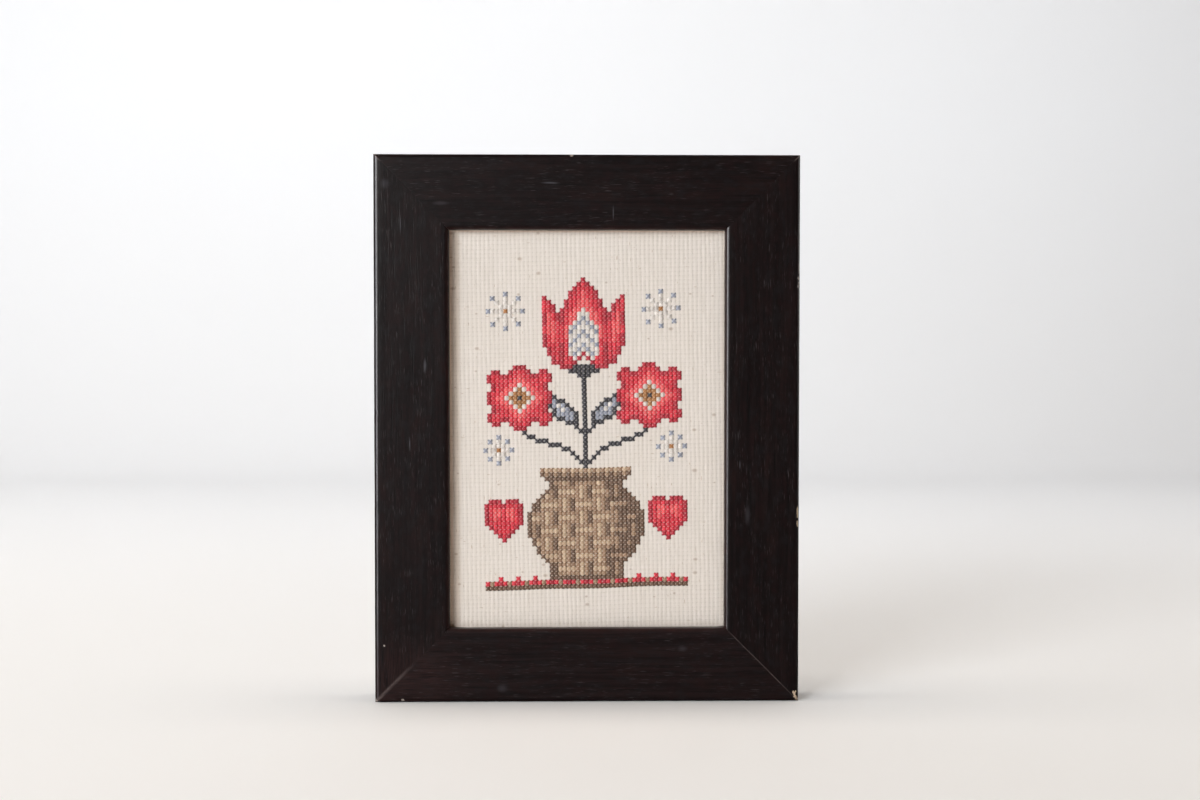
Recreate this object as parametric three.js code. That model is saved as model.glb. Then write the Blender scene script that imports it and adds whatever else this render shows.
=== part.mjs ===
// Framed cross-stitch picture: four mitred lengths of rebated moulding around a
// sheet of block-weave cloth, closed at the back with a hardboard panel.
//
// Millimetres. +Z is up, +X is to the right seen from the front, and the picture
// faces -Y. The origin is in the middle of the underside of the frame.

import * as THREE from 'three';

// ---- driving dimensions ----------------------------------------------------

const SIGHT_WIDTH = 115.0;      // clear opening between the lips, across
const SIGHT_HEIGHT = 166.1;     // clear opening between the lips, up
const RAIL_WIDTH = 31.3;        // face of the moulding, outer edge to sight edge
const FRAME_DEPTH = 20.0;       // front face to back face
const REBATE_WIDTH = 6.6;       // how far the lip covers the cloth
const LIP_THICKNESS = 5.0;      // front face to the floor of the rebate
const OUTER_ROUND = 2.0;        // radius on the outer front edge
const INNER_ROUND = 2.0;        // radius on the sight edge
const ARC_STEPS = 5;            // flats in each rounded edge

const JOINT_GAP = 0.3;          // clearance between neighbouring pieces

const CLOTH_THICKNESS = 1.2;
const CLOTH_SIDE_PLAY = 0.7;    // cloth edge to rebate wall, each side
const CLOTH_CELLS_ACROSS = 20;
const CLOTH_CELLS_UP = 28;

const BOARD_THICKNESS = 3.0;
const BOARD_SIDE_PLAY = 0.5;    // board edge to rebate wall, each side

// Soft rises and hollows in the cloth between its held edges. Each row: centre
// from the middle of the opening, reach across and up, and how far the cloth
// sits back there.
const CLOTH_SLACK = [
  { x: -26, z: 44, reachX: 34, reachZ: 30, back: 0.30 },
  { x: 30, z: 12, reachX: 26, reachZ: 44, back: 0.24 },
  { x: -18, z: -46, reachX: 40, reachZ: 26, back: 0.34 },
  { x: 34, z: -58, reachX: 22, reachZ: 20, back: 0.16 },
];
const CLOTH_SLACK_LIMIT = 0.5;  // deepest the slack is let go

// ---- sizes that follow -----------------------------------------------------

const FRAME_WIDTH = SIGHT_WIDTH + 2 * RAIL_WIDTH;
const FRAME_HEIGHT = SIGHT_HEIGHT + 2 * RAIL_WIDTH;
const REBATE_OPEN_WIDTH = SIGHT_WIDTH + 2 * REBATE_WIDTH;
const REBATE_OPEN_HEIGHT = SIGHT_HEIGHT + 2 * REBATE_WIDTH;
const FRONT = -FRAME_DEPTH / 2;
const MITRE_SETBACK = (JOINT_GAP / 2) * Math.SQRT2;

const CLOTH_FRONT = FRONT + LIP_THICKNESS + JOINT_GAP;
const BOARD_FRONT = CLOTH_FRONT + CLOTH_SLACK_LIMIT + CLOTH_THICKNESS + JOINT_GAP;

// ---- finishes --------------------------------------------------------------

const stainedWood = () => new THREE.MeshStandardMaterial({ color: 0x1e1917, roughness: 0.45, metalness: 0 });
const clothFinish = new THREE.MeshStandardMaterial({ color: 0xe2dacf, roughness: 0.95, metalness: 0 });
const boardFinish = new THREE.MeshStandardMaterial({ color: 0x7a583a, roughness: 0.75, metalness: 0 });

// ---- moulding --------------------------------------------------------------

// Section of the moulding: x runs from the outer edge in to the sight edge,
// y runs from the front face to the back.
function mouldingSection() {
  const s = new THREE.Shape();
  s.moveTo(0, FRAME_DEPTH);
  s.lineTo(0, OUTER_ROUND);
  s.absarc(OUTER_ROUND, OUTER_ROUND, OUTER_ROUND, Math.PI, 1.5 * Math.PI, false);
  s.lineTo(RAIL_WIDTH - INNER_ROUND, 0);
  s.absarc(RAIL_WIDTH - INNER_ROUND, INNER_ROUND, INNER_ROUND, 1.5 * Math.PI, 2 * Math.PI, false);
  s.lineTo(RAIL_WIDTH, LIP_THICKNESS);
  s.lineTo(RAIL_WIDTH - REBATE_WIDTH, LIP_THICKNESS);
  s.lineTo(RAIL_WIDTH - REBATE_WIDTH, FRAME_DEPTH);
  s.closePath();
  return s;
}

// A rail along X with its outer edge on z = 0 and its sight edge above it. Each
// end is cut at 45 degrees, so a fibre further in is shorter.
function rail(name, outerLength) {
  const g = new THREE.ExtrudeGeometry(mouldingSection(), {
    depth: 1, steps: 1, bevelEnabled: false, curveSegments: ARC_STEPS,
  });
  const p = g.getAttribute('position');
  for (let i = 0; i < p.count; i++) {
    const across = p.getX(i);
    const depth = p.getY(i);
    const half = outerLength / 2 - across - MITRE_SETBACK;
    p.setXYZ(i, half * (1 - 2 * p.getZ(i)), FRONT + depth, across);
  }
  g.computeVertexNormals();
  const m = new THREE.Mesh(g, stainedWood());
  m.name = name;
  return m;
}

// ---- cloth -----------------------------------------------------------------

// Cosine dome, 1 in the middle and 0 at its reach.
const dome = (d, reach) => (Math.abs(d) < reach ? 0.5 + 0.5 * Math.cos((Math.PI * d) / reach) : 0);

// How far the cloth sits back at a point of the opening. It is held under the
// lip, so the slack fades to nothing there.
function clothSlack(x, z) {
  let back = 0;
  for (const r of CLOTH_SLACK) back += r.back * dome(x - r.x, r.reachX) * dome(z - r.z, r.reachZ);
  const heldX = Math.max(0, 1 - (Math.abs(x) / (SIGHT_WIDTH / 2)) ** 6);
  const heldZ = Math.max(0, 1 - (Math.abs(z) / (SIGHT_HEIGHT / 2)) ** 6);
  return Math.min(back * heldX * heldZ, CLOTH_SLACK_LIMIT);
}

function clothSheet(name) {
  const w = REBATE_OPEN_WIDTH - 2 * CLOTH_SIDE_PLAY;
  const h = REBATE_OPEN_HEIGHT - 2 * CLOTH_SIDE_PLAY;
  const g = new THREE.BoxGeometry(w, CLOTH_THICKNESS, h, CLOTH_CELLS_ACROSS, 1, CLOTH_CELLS_UP);
  const p = g.getAttribute('position');
  for (let i = 0; i < p.count; i++) {
    p.setY(i, p.getY(i) + clothSlack(p.getX(i), p.getZ(i)));
  }
  g.computeVertexNormals();
  const m = new THREE.Mesh(g, clothFinish);
  m.name = name;
  m.position.set(0, CLOTH_FRONT + CLOTH_THICKNESS / 2, FRAME_HEIGHT / 2);
  return m;
}

// ---- backing board ---------------------------------------------------------

function backingBoard(name) {
  const g = new THREE.BoxGeometry(
    REBATE_OPEN_WIDTH - 2 * BOARD_SIDE_PLAY, BOARD_THICKNESS, REBATE_OPEN_HEIGHT - 2 * BOARD_SIDE_PLAY,
  );
  const m = new THREE.Mesh(g, boardFinish);
  m.name = name;
  m.position.set(0, BOARD_FRONT + BOARD_THICKNESS / 2, FRAME_HEIGHT / 2);
  return m;
}

// ---- the picture -----------------------------------------------------------

const picture = new THREE.Group();

const bottom = rail('rail_bottom', FRAME_WIDTH);
picture.add(bottom);

const top = rail('rail_top', FRAME_WIDTH);
top.rotation.y = Math.PI;
top.position.set(0, 0, FRAME_HEIGHT);
picture.add(top);

const left = rail('rail_left', FRAME_HEIGHT);
left.rotation.y = Math.PI / 2;
left.position.set(-FRAME_WIDTH / 2, 0, FRAME_HEIGHT / 2);
picture.add(left);

const right = rail('rail_right', FRAME_HEIGHT);
right.rotation.y = -Math.PI / 2;
right.position.set(FRAME_WIDTH / 2, 0, FRAME_HEIGHT / 2);
picture.add(right);

picture.add(clothSheet('cloth'));
picture.add(backingBoard('backing_board'));

export default picture;
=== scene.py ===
"""Looks of the framed cross-stitch picture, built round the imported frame.

Lengths in this script are in millimetres until they reach a mesh, where MM turns them into metres.
The picture stands on z = 0 and faces -Y. x runs to the right seen from the front.
"""

import math

import bmesh
import bpy
import numpy as np
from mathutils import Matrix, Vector


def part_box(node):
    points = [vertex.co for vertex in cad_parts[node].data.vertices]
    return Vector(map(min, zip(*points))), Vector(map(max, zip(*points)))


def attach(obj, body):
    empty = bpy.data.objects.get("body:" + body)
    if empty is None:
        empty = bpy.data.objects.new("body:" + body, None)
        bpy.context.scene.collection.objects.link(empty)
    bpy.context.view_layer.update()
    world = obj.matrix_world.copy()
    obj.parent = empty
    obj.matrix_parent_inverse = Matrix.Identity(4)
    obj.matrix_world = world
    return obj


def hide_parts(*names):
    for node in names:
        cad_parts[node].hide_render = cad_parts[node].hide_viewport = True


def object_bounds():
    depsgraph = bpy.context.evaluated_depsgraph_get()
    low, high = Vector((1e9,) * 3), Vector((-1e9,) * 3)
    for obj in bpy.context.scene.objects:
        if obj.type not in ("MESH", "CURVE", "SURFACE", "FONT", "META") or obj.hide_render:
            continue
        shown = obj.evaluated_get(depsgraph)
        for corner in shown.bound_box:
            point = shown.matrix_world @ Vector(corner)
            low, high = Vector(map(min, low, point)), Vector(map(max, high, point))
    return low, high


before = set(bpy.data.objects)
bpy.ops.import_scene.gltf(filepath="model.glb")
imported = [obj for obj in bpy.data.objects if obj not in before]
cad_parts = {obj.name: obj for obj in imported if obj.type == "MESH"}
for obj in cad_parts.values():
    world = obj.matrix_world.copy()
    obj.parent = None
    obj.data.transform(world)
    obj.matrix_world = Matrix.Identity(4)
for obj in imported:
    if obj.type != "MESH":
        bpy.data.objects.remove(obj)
CAD_LOW, CAD_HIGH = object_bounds()

MM = 0.001

# ---- sizes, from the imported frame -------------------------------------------

low, high = Vector(CAD_LOW) / MM, Vector(CAD_HIGH) / MM
WIDTH, DEPTH, HEIGHT = high.x - low.x, high.y - low.y, high.z - low.z
FRONT, BACK = low.y, high.y
MIDDLE = HEIGHT / 2

rail_low, rail_high = (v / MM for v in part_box("rail_bottom"))
cloth_low, cloth_high = (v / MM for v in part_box("cloth"))
board_low, board_high = (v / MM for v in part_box("backing_board"))

RAIL = rail_high.z - rail_low.z
SIGHT_W, SIGHT_H = WIDTH - 2 * RAIL, HEIGHT - 2 * RAIL
LIP = 5.0
REBATE = 6.6
OUTER_ROUND, INNER_ROUND = 2.0, 2.0
CLOTH_FRONT = cloth_low.y

# ---- the weave ----------------------------------------------------------------

CELL = 25.4 / 14  # one block of the cloth
ACROSS_TURN, UP_TURN = math.radians(1.25), math.radians(0.8)  # the cloth sits a little askew
AXIS_A = np.array([math.cos(ACROSS_TURN), math.sin(ACROSS_TURN)])
AXIS_B = np.array([-math.sin(UP_TURN), math.cos(UP_TURN)])

# Same rises and hollows as the cloth's solid: centre, reach across and up, and
# how far back it sits.
CLOTH_SLACK = [
    (-26, 44, 34, 30, 0.30),
    (30, 12, 26, 44, 0.24),
    (-18, -46, 40, 26, 0.34),
    (34, -58, 22, 20, 0.16),
]


def dome(d, reach):
    return np.where(np.abs(d) < reach, 0.5 + 0.5 * np.cos(np.pi * d / reach), 0.0)


def cloth_slack(x, z):
    """How far the cloth sits back at x, z, measured from the middle of the opening."""
    back = 0.0
    for cx, cz, rx, rz, depth in CLOTH_SLACK:
        back = back + depth * dome(x - cx, rx) * dome(z - cz, rz)
    held_x = np.clip(1 - (np.abs(x) / (SIGHT_W / 2)) ** 6, 0, None)
    held_z = np.clip(1 - (np.abs(z) / (SIGHT_H / 2)) ** 6, 0, None)
    return np.minimum(back * held_x * held_z, 0.5)


def waves(seed, count, shortest, longest):
    """A smooth uneven function of two lengths, about -1 to 1, from crossing waves."""
    r = np.random.default_rng(seed)
    number = 2 * np.pi / r.uniform(shortest, longest, count)
    angle = r.uniform(0, 2 * np.pi, count)
    phase = r.uniform(0, 2 * np.pi, count)

    def at(x, z):
        total = 0.0
        for k, a, p in zip(number, angle, phase):
            total = total + np.sin(k * (x * math.cos(a) + z * math.sin(a)) + p)
        return total / math.sqrt(count)

    return at


drift_a, drift_b = waves(11, 5, 22, 70), waves(12, 5, 22, 70)


def on_cloth(a, b):
    """Where the lattice point a, b lies, in blocks from the middle of the opening: x and z in mm from there."""
    x = CELL * (a * AXIS_A[0] + b * AXIS_B[0])
    z = CELL * (a * AXIS_A[1] + b * AXIS_B[1])
    return x + 0.13 * drift_a(x, z), z + 0.16 * drift_b(x, z)


# ---- meshes -------------------------------------------------------------------


def new_object(name, points, faces, material, smooth=True, sharp_deg=None):
    """An object from points in mm and faces, given as lists of corners."""
    mesh = bpy.data.meshes.new(name)
    mesh.from_pydata((np.asarray(points) * MM).tolist(), [], faces)
    mesh.validate(clean_customdata=False)
    mesh.polygons.foreach_set("use_smooth", [smooth] * len(mesh.polygons))
    if sharp_deg:
        mesh.set_sharp_from_angle(angle=math.radians(sharp_deg))
    mesh.materials.append(material)
    o = bpy.data.objects.new(name, mesh)
    bpy.context.scene.collection.objects.link(o)
    return o


def outward(mesh):
    """Turn a closed mesh's faces to look outward."""
    bm = bmesh.new()
    bm.from_mesh(mesh)
    bmesh.ops.recalc_face_normals(bm, faces=bm.faces)
    bm.to_mesh(mesh)
    bm.free()


def vector_attribute(mesh, name, values):
    mesh.attributes.new(name, "FLOAT_VECTOR", "POINT").data.foreach_set(
        "vector", np.asarray(values, np.float32).ravel()
    )


def float_attribute(mesh, name, values):
    mesh.attributes.new(name, "FLOAT", "POINT").data.foreach_set(
        "value", np.asarray(values, np.float32).ravel()
    )


def uv_map(mesh, name, per_vertex):
    """A UV map whose corners take their vertex's place."""
    corner = np.empty(len(mesh.loops), np.int32)
    mesh.loops.foreach_get("vertex_index", corner)
    layer = mesh.uv_layers.new(name=name, do_init=False)
    layer.uv.foreach_set("vector", np.asarray(per_vertex, np.float32)[corner].ravel())


# ---- node helper --------------------------------------------------------------


class Nodes:
    """Short names for a material's nodes. A value is a number, a tuple or another node's output."""

    def __init__(self, name):
        self.material = bpy.data.materials.new(name)
        self.material.use_nodes = True
        self.tree = self.material.node_tree
        self.tree.nodes.clear()
        self.shader = self.tree.nodes.new("ShaderNodeBsdfPrincipled")
        out = self.tree.nodes.new("ShaderNodeOutputMaterial")
        self.tree.links.new(self.shader.outputs[0], out.inputs["Surface"])

    def put(self, socket, value):
        if isinstance(value, bpy.types.NodeSocket):
            self.tree.links.new(value, socket)
        elif value is not None:
            if socket.type == "RGBA" and len(value) == 3:
                value = (*value, 1.0)
            socket.default_value = value

    def node(self, kind, inputs, out=0, **settings):
        n = self.tree.nodes.new(kind)
        for k, v in settings.items():
            setattr(n, k, v)
        for k, v in inputs.items():
            self.put(n.inputs[k], v)
        return n.outputs[out]

    def attribute(self, name, out="Vector"):
        n = self.tree.nodes.new("ShaderNodeAttribute")
        n.attribute_name = name
        return n.outputs[out]

    def math(self, operation, a, b=None, c=None, clamp=False):
        n = self.tree.nodes.new("ShaderNodeMath")
        n.operation, n.use_clamp = operation, clamp
        for i, v in enumerate((a, b, c)):
            if v is not None:
                self.put(n.inputs[i], v)
        return n.outputs[0]

    def vector(self, operation, a, b=None, scale=None, out=0):
        n = self.tree.nodes.new("ShaderNodeVectorMath")
        n.operation = operation
        self.put(n.inputs[0], a)
        if b is not None:
            self.put(n.inputs[1], b)
        if scale is not None:
            self.put(n.inputs["Scale"], scale)
        return n.outputs[out]

    def noise(self, vector, scale=1.0, detail=2.0, roughness=0.5, distortion=0.0):
        return self.node(
            "ShaderNodeTexNoise",
            {"Vector": vector, "Scale": scale, "Detail": detail, "Roughness": roughness, "Distortion": distortion},
            noise_dimensions="3D",
        )

    def ramp(self, value, low, high, to_low=0.0, to_high=1.0, smooth=True):
        return self.node(
            "ShaderNodeMapRange",
            {"Value": value, "From Min": low, "From Max": high, "To Min": to_low, "To Max": to_high},
            interpolation_type="SMOOTHSTEP" if smooth else "LINEAR",
            clamp=True,
        )

    def mix(self, share, a, b, blend="MIX"):
        n = self.tree.nodes.new("ShaderNodeMix")
        n.data_type, n.blend_type, n.clamp_factor = "RGBA", blend, True
        self.put(n.inputs["Factor"], share)
        self.put(n.inputs[6], a)
        self.put(n.inputs[7], b)
        return n.outputs[2]

    def bump(self, height, strength, distance, normal=None):
        return self.node(
            "ShaderNodeBump",
            {"Strength": strength, "Distance": distance, "Height": height, "Normal": normal},
        )

    def parts(self, vector):
        n = self.tree.nodes.new("ShaderNodeSeparateXYZ")
        self.put(n.inputs[0], vector)
        return n.outputs

    def join(self, x, y, z):
        return self.node("ShaderNodeCombineXYZ", {0: x, 1: y, 2: z})

    def finish(self, **inputs):
        for k, v in inputs.items():
            self.put(self.shader.inputs[k], v)
        return self.material


def rgb(r, g, b):
    """Linear colour from 0 to 255 screen values."""
    return tuple(
        (c / 255 / 12.92 if c / 255 <= 0.04045 else ((c / 255 + 0.055) / 1.055) ** 2.4) for c in (r, g, b)
    )


def cavity(colour, depth):
    """What a colour turns to where light is caught in a hollow of it: pale colours keep more of theirs."""
    return tuple(c * (1 - depth) / (1 - depth * c) for c in colour)


# ---- the moulding -------------------------------------------------------------

# Each rail's middle of its outer edge, the way along it, the way in to the
# picture, its length, and where its own stretch of the wood grain starts.
RAILS = {
    "bottom": ((0, 0), (1, 0), (0, 1), WIDTH, 0),
    "top": ((0, HEIGHT), (-1, 0), (0, -1), WIDTH, 1000),
    "left": ((-WIDTH / 2, MIDDLE), (0, -1), (1, 0), HEIGHT, 2000),
    "right": ((WIDTH / 2, MIDDLE), (0, 1), (-1, 0), HEIGHT, 3000),
}


def on_rail(rail, x, z, y=FRONT):
    """The grain coordinate, along, across and deep, of a point of a rail given by its x and z."""
    (mx, mz), (ax, az), (ix, iz), _, start = RAILS[rail]
    dx, dz = x - mx, z - mz
    return (dx * ax + dz * az + start, dx * ix + dz * iz, y - FRONT)


# Small knocks on the edges. Each: rail, x, z, depth from the front, radius, how deep.
KNOCKS = [
    ("right", 88.4, 177.5, 0.7, 1.2, 0.26),
    ("right", 88.4, 175.5, 0.9, 0.9, 0.16),
    ("right", 88.4, 174.1, 0.6, 1.2, 0.24),
    ("right", 88.2, 80.5, 0.7, 1.2, 0.14),
    ("right", 88.2, 75.0, 0.7, 1.4, 0.16),
    ("right", 86.9, 3.5, 0.4, 1.1, 0.22),
    ("right", 88.0, 1.4, 0.8, 1.0, 0.30),
    ("right", 88.6, 0.5, 1.3, 1.1, 0.35),
    ("top", -6.5, 228.2, 0.7, 0.9, 0.25),
    ("bottom", -77.2, 1.1, 0.7, 0.9, 0.22),
    ("left", -88.4, 0.7, 1.2, 1.1, 0.30),
    ("left", -88.5, 228.2, 1.2, 0.9, 0.14),
    ("left", -88.0, 121.0, 1.0, 1.5, 0.10),
    ("left", -88.2, 46.0, 1.1, 1.0, 0.14),
    ("top", 42.0, 228.2, 1.0, 1.3, 0.10),
    ("bottom", 20.0, 0.6, 1.0, 1.6, 0.12),
]


def section():
    """The moulding's section as points from the outer edge in and the front back, each with the way out of the wood."""
    corners = [  # place, radius of its rounding
        ((0, DEPTH), 0.5),
        ((0, 0), OUTER_ROUND),
        ((RAIL, 0), INNER_ROUND),
        ((RAIL, LIP), 0.3),
        ((RAIL - REBATE, LIP), 0.0),
        ((RAIL - REBATE, DEPTH), 0.4),
    ]
    out = []
    n = len(corners)
    for i, (c, r) in enumerate(corners):
        c = np.array(c, float)
        before = np.array(corners[i - 1][0], float)
        after = np.array(corners[(i + 1) % n][0], float)
        d0, d1 = (c - before) / np.linalg.norm(c - before), (after - c) / np.linalg.norm(after - c)
        # the section runs up the outer edge, across the face and back, so out of the wood is to the right of the way
        out0, out1 = np.array([d0[1], -d0[0]]), np.array([d1[1], -d1[0]])
        if r == 0:
            out.append((c, (out0 + out1) / np.linalg.norm(out0 + out1)))
        else:
            steps = 9 if r >= 1 else 3
            centre = c - d0 * r + d1 * r
            for k in range(steps + 1):
                t = k / steps * math.pi / 2
                way_out = d0 * math.sin(t) - d1 * math.cos(t)
                out.append((centre + r * way_out, way_out))
        end = c + d1 * r
        next_start = after - d1 * corners[(i + 1) % n][1]
        length = np.linalg.norm(next_start - end)
        # flats are cut where their wear needs it
        flat = max(1, round(length / {0: 4.0, 1: 1.6}.get(i, 6.0)))
        for k in range(1, flat):
            out.append((end + (next_start - end) * k / flat, out1))
    return np.array([p for p, _ in out]), np.array([o for _, o in out])


SECTION, SECTION_OUT = section()


def make_rail(rail, seed, material):
    (mx, mz), (ax, az), (ix, iz), length, start = RAILS[rail]
    hollow, ripple = waves(seed, 6, 30, 90), waves(seed + 50, 6, 6, 16)
    knocks = []
    for r, x, z, deep, radius, depth in KNOCKS:
        s, u, _ = on_rail(r, x, z)
        if r == rail:
            knocks.append((s - start, u, deep, radius, depth))
        else:  # a knock on a corner reaches both rails
            s2, u2, _ = on_rail(rail, x, z)
            if -1 < u2 < 4 and abs(s2 - start) < length / 2 + 1:
                knocks.append((s2 - start, u2, deep, radius, depth * 0.8))
    # rings along the rail: even, and closer where it is knocked
    half = length / 2
    cuts = set(np.round(np.linspace(-1, 1, int(length / 3.2)), 5))
    for s, *_, radius, _ in knocks:
        for d in np.linspace(-1.4, 1.4, 9):
            t = (s + d * radius) / half
            if -1 < t < 1:
                cuts.add(round(float(t), 5))
    cuts = sorted(cuts)
    keep = [cuts[0]]
    for t in cuts[1:-1]:
        if (t - keep[-1]) * half > 0.22 and (1 - t) * half > 0.4:
            keep.append(t)
    keep.append(cuts[-1])
    gap, arris = 0.0, 0.015
    rings = [(-1.0, 0.0, arris), (-1.0, 0.20, 0.0)]
    rings += [(t, 0.0, 0.0) for t in keep[1:-1] if abs(abs(t) - 1) * half > 0.5]
    rings += [(1.0, -0.20, 0.0), (1.0, 0.0, arris)]
    points, grain = [], []
    for t, shift, inset in rings:
        u, v = SECTION[:, 0], SECTION[:, 1]
        s = t * (half - u - gap) + shift
        # soft unevenness of the worked face, and knocks
        face = np.clip(1 - v / 3, 0, 1)
        # the faces meet level at the mitres
        inner = np.clip((half - abs(s) - u) / 14, 0, 1) ** 2
        into = inset + face * np.clip(0.04 + inner * (0.035 * hollow(s, u) + 0.010 * ripple(s, u)), 0, None)
        for ks, ku, kv, radius, depth in knocks:
            d = np.sqrt((s - ks) ** 2 + (u - ku) ** 2 + (v - kv) ** 2) / radius
            into = into + depth * np.clip(1 - d * d, 0, 1) ** 1.5
        on_face = SECTION_OUT * -into[:, None]
        # the bottom rail's lip was planed a shade lower between the corners
        planed = 0.44 * (rail == "bottom") * np.clip((u - RAIL + 3) / 2, 0, 1) * np.clip((half - RAIL - abs(s)) / 3, 0, 1)
        # nothing stands proud of the solid
        uu, vv = u + on_face[:, 0] - planed, v + on_face[:, 1]
        uu, vv = np.clip(uu, 0, None), np.clip(vv, 0, DEPTH)
        x = mx + s * ax + uu * ix
        z = mz + s * az + uu * iz
        points.append(np.stack([x, FRONT + vv, z], 1))
        grain.append(np.stack([s + start, u, v], 1))
    n = len(SECTION)
    faces = []
    for r in range(len(rings) - 1):
        a, b = r * n, (r + 1) * n
        faces += [(a + k, a + (k + 1) % n, b + (k + 1) % n, b + k) for k in range(n)]
    faces.append(tuple(range(n)))
    faces.append(tuple(range((len(rings) - 1) * n, len(rings) * n)))
    points = np.concatenate(points)
    o = new_object("moulding_" + rail, points, faces, material)
    outward(o.data)
    o.data.set_sharp_from_angle(angle=math.radians(50))
    vector_attribute(o.data, "grain", np.concatenate(grain))
    return o


def wood():
    n = Nodes("black_brown_stained_wood")
    grain = n.attribute("grain")
    s, u, v = n.parts(grain)

    def stretched(along, across, offset=0.0):
        return n.vector("ADD", n.vector("MULTIPLY", grain, (along, across, across)), (offset, offset * 0.7, 0.0))

    wander = n.noise(stretched(0.02, 0.06), 1.0, 2.0)
    bent = n.vector("ADD", grain, n.join(0.0, n.math("MULTIPLY", n.math("SUBTRACT", wander, 0.5), 4.0), 0.0))

    def bent_by(along, across, offset=0.0):
        return n.vector("ADD", n.vector("MULTIPLY", bent, (along, across, across)), (offset, offset * 0.7, 0.0))

    fibre = n.noise(bent_by(0.10, 3.2), 1.0, 4.0, 0.6)
    bands = n.noise(bent_by(0.012, 0.55, 7.0), 1.0, 3.0, 0.55)
    blotch = n.noise(stretched(0.035, 0.09, 3.0), 1.0, 3.0, 0.6)
    cloudy = n.noise(stretched(0.16, 0.30, 55.0), 1.0, 3.0, 0.6)
    # stain: nearly black, browner and redder where it is thin; painted light makes the bottom rail lighter than the
    # other three
    rail = n.math("ROUND", n.math("DIVIDE", s, 1000.0))
    painted_light_bottom_rail = n.math("COMPARE", rail, 0.0, 0.5)
    colour = n.mix(n.ramp(bands, 0.35, 0.68), rgb(16, 9, 9), rgb(25, 16, 16))
    colour = n.mix(painted_light_bottom_rail, colour, n.vector("SCALE", colour, scale=1.45))
    colour = n.mix(n.math("MULTIPLY", n.ramp(blotch, 0.5, 0.75), 0.55), colour, rgb(35, 20, 18))
    colour = n.mix(n.math("MULTIPLY", n.ramp(cloudy, 0.48, 0.66), 0.38), colour, rgb(27, 25, 27))
    colour = n.mix(n.math("MULTIPLY", n.ramp(cloudy, 0.50, 0.34), 0.32), colour, rgb(33, 16, 17))
    # fine pale streaks of dust and worn stain in the pores
    streak = n.noise(bent_by(0.19, 3.0, 21.0), 1.0, 2.0, 0.5)
    patch = n.noise(stretched(0.045, 0.12, 40.0), 1.0, 2.0, 0.5)
    streaks = n.math("MULTIPLY", n.ramp(streak, 0.60, 0.74), n.ramp(patch, 0.34, 0.60))
    colour = n.mix(n.math("MULTIPLY", streaks, 0.50), colour, rgb(82, 77, 78))
    dark = n.noise(bent_by(0.05, 1.7, 60.0), 1.0, 2.0, 0.5)
    colour = n.mix(n.math("MULTIPLY", n.ramp(dark, 0.55, 0.72), 0.6), colour, rgb(7, 6, 6))

    # marks: scuffs, bare wood at knocks, and the thin lines of worn mitres
    jitter = n.noise(n.vector("MULTIPLY", grain, (1.3, 2.2, 2.2)), 1.0, 3.0, 0.6)
    ragged = n.math("ADD", 0.45, n.math("MULTIPLY", jitter, 1.10))

    def mark(rail, x, z, long, wide, deep=30.0, y=FRONT, soft=False):
        """1 in the middle of an oval mark, lying along the rail, to 0 at its rim."""
        at = on_rail(rail, x, z, y)
        d = n.vector("MULTIPLY", n.vector("SUBTRACT", grain, at), (1 / long, 1 / wide, 1 / deep))
        far = n.vector("LENGTH", d, out=1)
        if soft:
            return n.ramp(far, 1.35, 0.15)
        return n.ramp(n.math("MULTIPLY", far, ragged), 1.05, 0.75)

    def together(marks):
        total = marks[0]
        for m in marks[1:]:
            total = n.math("MAXIMUM", total, m)
        return total

    pale = together(
        [
            mark("right", 88.6, 177.4, 0.9, 0.8, 0.8, FRONT + 0.5),
            mark("right", 88.7, 175.5, 0.5, 0.6, 0.7, FRONT + 0.8),
            mark("right", 88.6, 174.2, 1.1, 0.7, 0.6, FRONT + 0.4),
            mark("top", -6.5, 228.4, 0.8, 0.7, 1.3, FRONT + 0.4),
            mark("bottom", -77.2, 1.1, 0.72, 0.62, 1.2, FRONT + 0.3),
            mark("left", -84.8, 24.0, 0.45, 0.45, 2.0),
            mark("left", -88.3, 0.7, 0.75, 0.75, 1.4, FRONT + 0.7),
            mark("bottom", -88.3, 0.7, 0.75, 0.75, 1.4, FRONT + 0.7),
            mark("right", 88.5, 181.4, 2.7, 0.25, 1.0, FRONT + 0.7),
        ]
    )
    tan = together(
        [
            mark("right", 88.2, 79.5, 2.9, 0.50, 1.5, FRONT + 0.3),
            mark("right", 88.2, 74.8, 1.5, 0.45, 1.5, FRONT + 0.3),
            mark("right", 86.5, 3.9, 0.65, 0.40, 1.5),
            mark("right", 87.0, 3.2, 0.85, 0.50, 1.5),
            mark("right", 87.5, 4.1, 0.50, 0.35, 1.5),
        ]
        + [mark(r, x, z, 0.75, 0.75, 1.6, FRONT + 0.6) for r in ("right", "bottom") for x, z in ((87.3, 2.1), (87.9, 1.4), (88.5, 0.7))]
    )
    scuff = together(
        [
            mark("top", -15.5, 216.8, 3.6, 0.42, soft=True),
            mark("top", 10.8, 204.4, 0.28, 3.0, soft=True),
            mark("left", -77.5, 199.5, 4.2, 0.28, soft=True),
            mark("left", -67.5, 141.0, 2.9, 0.60, soft=True),
            mark("left", -73.9, 108.5, 2.6, 0.30, soft=True),
            mark("right", 63.8, 99.5, 2.0, 0.30, soft=True),
        ]
    )
    colour = n.mix(n.math("MULTIPLY", scuff, 0.30), colour, rgb(104, 104, 110))
    rubbed = together(
        [
            mark("left", -83.9, 216.3, 2.1, 2.0, soft=True),
            mark("top", -60.8, 208.3, 3.4, 0.9, soft=True),
            mark("right", 67.0, 78.6, 4.4, 1.2, soft=True),
            mark("bottom", 40.0, 22.3, 2.0, 1.1, soft=True),
            mark("bottom", -35.6, 5.9, 2.2, 1.7, soft=True),
        ]
    )
    colour = n.mix(n.math("MULTIPLY", rubbed, 0.20), colour, rgb(84, 82, 88))
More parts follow.
